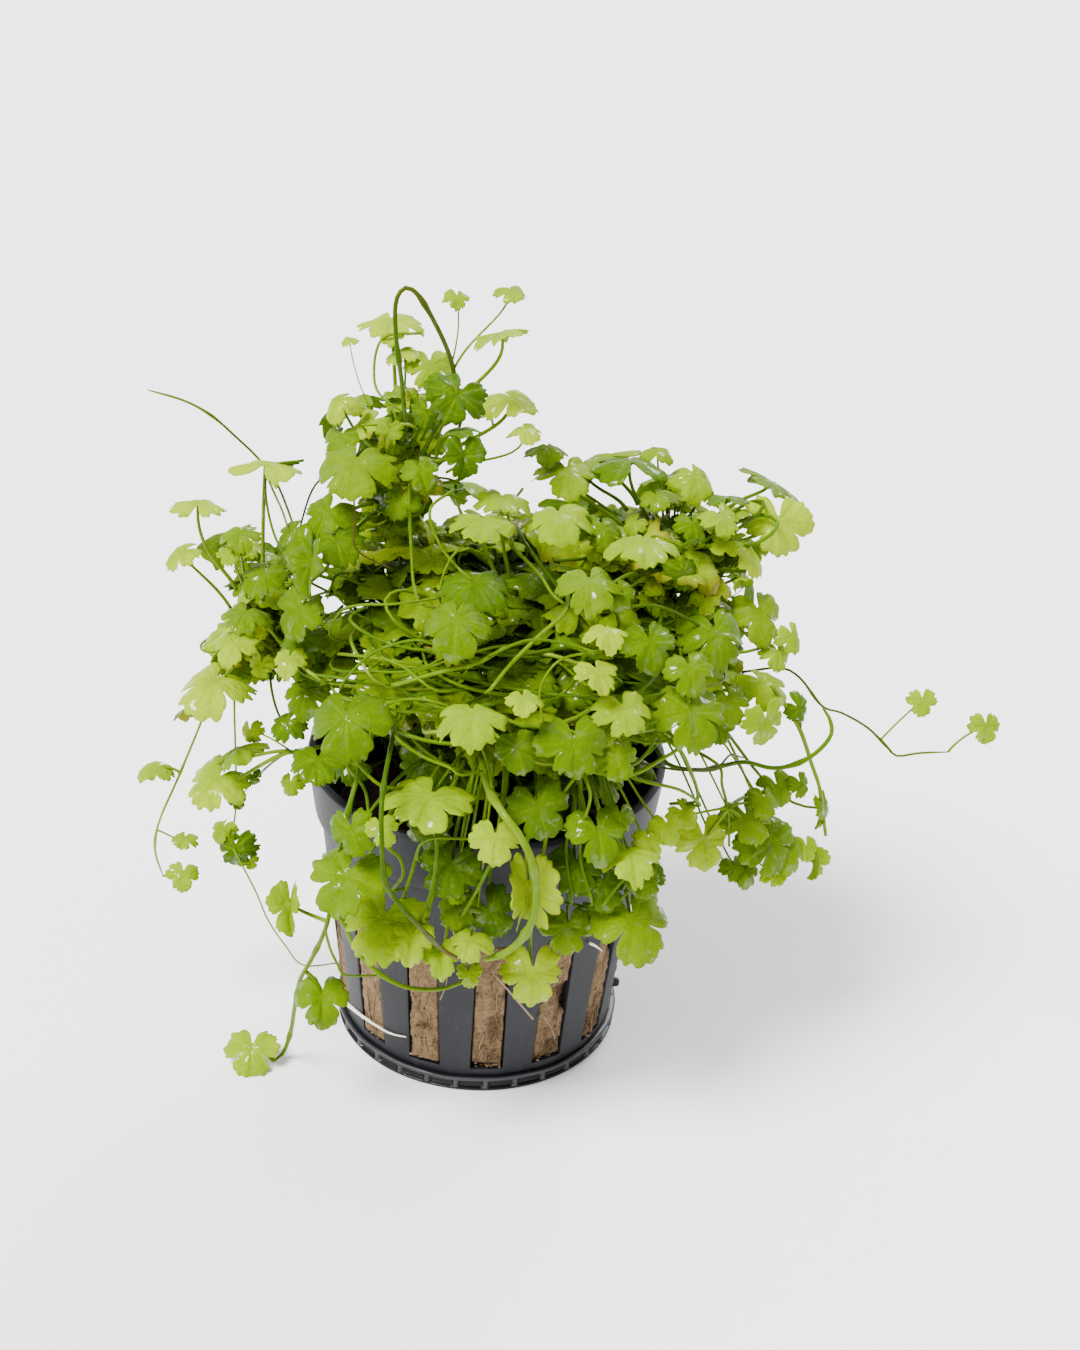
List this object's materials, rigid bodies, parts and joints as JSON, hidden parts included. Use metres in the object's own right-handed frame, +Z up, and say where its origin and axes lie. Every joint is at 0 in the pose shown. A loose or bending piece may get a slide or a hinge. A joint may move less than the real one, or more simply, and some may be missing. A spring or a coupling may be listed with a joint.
{
  "type": "potted hydrocotyle tripartita",
  "caption": "Small aquarium plant with three-lobed leaves on creeping stems, in a slotted net pot packed with coir.",
  "frame": {"origin": "middle of the flat underside of the pot, on the surface it stands on", "axes": "+Z up out of the pot's mouth, -Y towards the side the plant shows in front, +X to that viewer's right"},
  "size_m": [0.1241, 0.0803, 0.1143],
  "materials": {
    "pot_plastic": "satin",
    "coir": "matte",
    "small_leaves": "satin",
    "stem": "satin",
    "leaf": "gloss"
  },
  "bodies": {
    "root": {"coir_plug": "coir", "leaf_front_1": "leaf", "leaf_front_2": "leaf", "leaf_front_3": "leaf", "leaf_front_4": "leaf", "leaf_front_5": "leaf", "leaf_front_6": "leaf", "leaf_front_7": "leaf", "leaf_front_8": "leaf", "leaf_left_1": "leaf", "leaf_left_2": "leaf", "leaf_left_3": "leaf", "leaf_left_4": "leaf", "leaf_left_5": "leaf", "leaf_left_6": "leaf", "leaf_left_7": "leaf", "leaf_left_8": "leaf", "leaf_left_9": "leaf", "leaf_middle_1": "leaf", "leaf_middle_2": "leaf", "leaf_middle_3": "leaf", "leaf_middle_4": "leaf", "leaf_middle_5": "leaf", "leaf_middle_6": "leaf", "leaf_middle_7": "leaf", "leaf_right_1": "leaf", "leaf_right_10": "leaf", "leaf_right_2": "leaf", "leaf_right_3": "leaf", "leaf_right_4": "leaf", "leaf_right_5": "leaf", "leaf_right_6": "leaf", "leaf_right_7": "leaf", "leaf_right_8": "leaf", "leaf_right_9": "leaf", "leaf_spire_1": "leaf", "leaf_spire_2": "leaf", "leaf_spire_3": "leaf", "leaf_spire_4": "leaf", "leaf_spire_5": "leaf", "leaf_spire_6": "leaf", "leaf_spire_7": "leaf", "leaf_spire_8": "leaf", "leaf_trail_1": "leaf", "leaf_trail_2": "leaf", "leaf_trail_3": "leaf", "pot": "pot_plastic", "runner_bare_tip": "stem", "runner_front_arc": "stem", "runner_front_brown": "stem", "runner_front_curl": "stem", "runner_left_thread": "stem", "runner_lower_left": "stem", "runner_right_loop": "stem", "runner_right_trail": "stem", "runner_tall_arch": "stem", "small_leaves_left_shoulder": "small_leaves", "small_leaves_mound": "small_leaves", "small_leaves_right_shoulder": "small_leaves", "small_leaves_spire": "small_leaves"}
  },
  "joints": []
}
